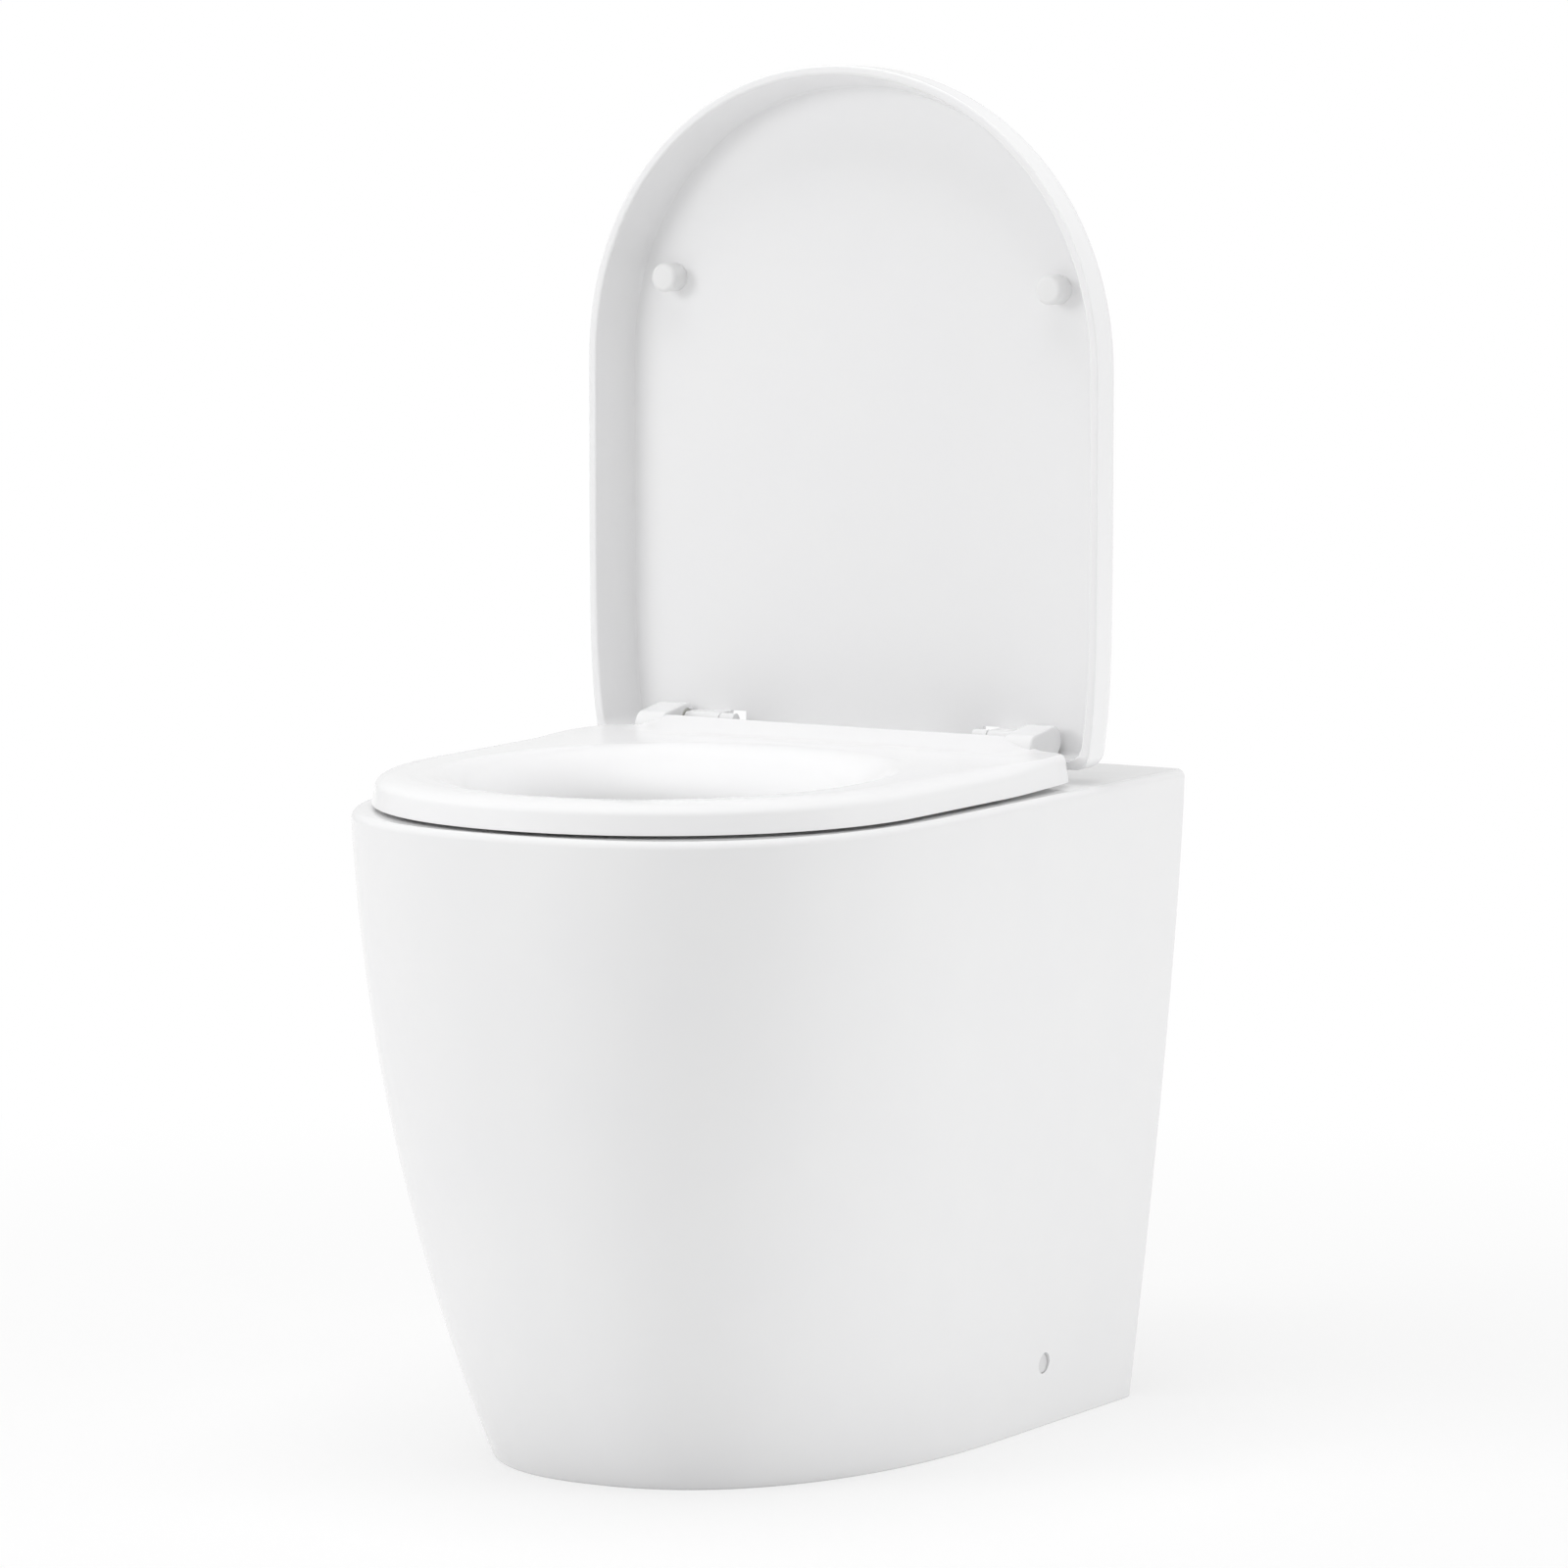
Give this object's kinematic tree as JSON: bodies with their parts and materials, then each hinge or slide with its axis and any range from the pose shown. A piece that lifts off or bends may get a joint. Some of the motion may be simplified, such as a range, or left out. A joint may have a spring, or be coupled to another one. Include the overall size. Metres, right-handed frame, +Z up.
{
  "type": "back to wall toilet",
  "caption": "Floor-standing china toilet pan with a tapered D-shaped body, a seat ring and a wrap-over lid on a shared soft-close hinge axis, shown with the lid up.",
  "frame": {"origin": "on the floor under the middle of the footprint, halfway between the wall plane and the front of the rim", "axes": "+Z up, +Y towards the wall, -Y out of the front, +X to the right as seen from the front"},
  "size_m": [0.366, 0.505, 0.8365],
  "materials": {
    "china": "gloss",
    "white_plastic": "gloss",
    "pale_rubber": "matte",
    "dark_rubber": "matte",
    "nylon": "satin",
    "steel": "satin"
  },
  "bodies": {
    "pan": {"pan": "china", "inlet_seal": "dark_rubber", "floor_bracket_left": "nylon", "floor_bracket_right": "nylon", "captive_nuts": "steel", "side_bushes": "nylon", "side_screws": "steel", "side_caps": "white_plastic", "hinge_gaskets": "pale_rubber", "hinge_post_left": "white_plastic", "hinge_post_right": "white_plastic", "hinge_bolts": "steel", "expanding_bushes": "dark_rubber", "cone_nuts": "steel", "hinge_pin_right": "steel"},
    "seat": {"seat_ring": "white_plastic", "seat_pads": "pale_rubber", "damper_left": "nylon", "damper_right": "nylon"},
    "lid": {"lid": "white_plastic", "lid_buffers": "pale_rubber", "hinge_pin_left": "steel"}
  },
  "joints": [
    {"name": "seat_hinge", "type": "hinge", "parent": "pan", "child": "seat", "pos_m": [0, 0.1565, 0.424], "axis": [-1, 0, 0], "range_deg": [0, 90]},
    {"name": "lid_hinge", "type": "hinge", "parent": "seat", "child": "lid", "pos_m": [0, 0.1565, 0.424], "axis": [1, 0, 0], "range_deg": [0, 90]}
  ]
}
